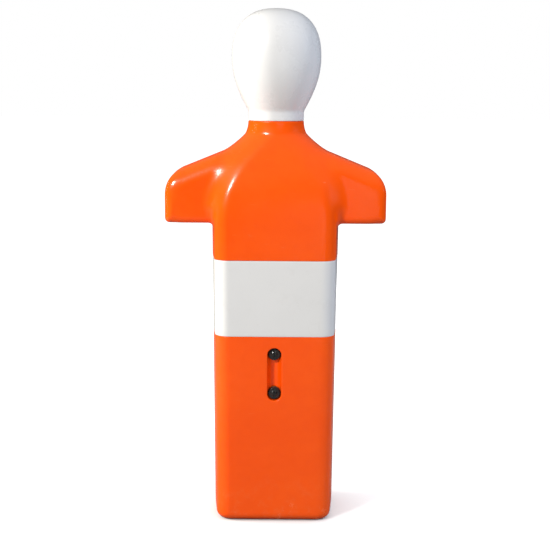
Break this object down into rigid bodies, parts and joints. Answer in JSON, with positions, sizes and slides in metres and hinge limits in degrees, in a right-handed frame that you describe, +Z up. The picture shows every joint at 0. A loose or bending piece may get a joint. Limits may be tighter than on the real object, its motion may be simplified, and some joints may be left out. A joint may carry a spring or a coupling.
{
  "type": "water rescue training manikin",
  "caption": "Hollow moulded torso with arm stumps, a plain egg-shaped head, a chest band and screw plugs in a front recess for filling it with water.",
  "frame": {"origin": "on the floor, under the centre of the base", "axes": "+Z up, front with the recess and plugs faces -Y, +X to the viewer's right seen from the front"},
  "size_m": [0.429, 0.184, 1],
  "materials": {
    "orange_plastic": "glossy moulded plastic, coloured right through, with a faint orange-peel surface",
    "white_plastic": "satin to glossy white moulded plastic",
    "white_film": "smooth glossy white plastic band",
    "black_plastic": "satin black moulded plastic",
    "black_rubber": "matt black rubber",
    "brass_insert": "turned brass"
  },
  "bodies": {
    "shell": {"torso_shell": "orange_plastic", "head_shell": "white_plastic", "chest_band": "white_film", "neck_seal": "black_rubber", "fill_bush": "brass_insert", "vent_bush": "brass_insert"},
    "fill_seal": {"fill_o_ring": "black_rubber"},
    "fill_cap": {"fill_plug": "black_plastic"},
    "vent_seal": {"vent_o_ring": "black_rubber"},
    "vent_cap": {"vent_plug": "black_plastic"}
  },
  "joints": [
    {"name": "fill_travel", "type": "slide", "parent": "shell", "child": "fill_seal", "axis": [0, -1, 0], "range_m": [0, 0.016]},
    {"name": "fill_turn", "type": "hinge", "parent": "fill_seal", "child": "fill_cap", "pos_m": [0, -0.08, 0.33775], "axis": [0, -1, 0], "range_deg": [0, 2880]},
    {"name": "vent_travel", "type": "slide", "parent": "shell", "child": "vent_seal", "axis": [0, -1, 0], "range_m": [0, 0.016]},
    {"name": "vent_turn", "type": "hinge", "parent": "vent_seal", "child": "vent_cap", "pos_m": [0, -0.08, 0.26025], "axis": [0, -1, 0], "range_deg": [0, 2880]}
  ],
  "couplings": [
    {"joint": "fill_travel", "follows": "fill_turn", "m_per_rad": 0.00031831},
    {"joint": "vent_travel", "follows": "vent_turn", "m_per_rad": 0.00031831}
  ]
}
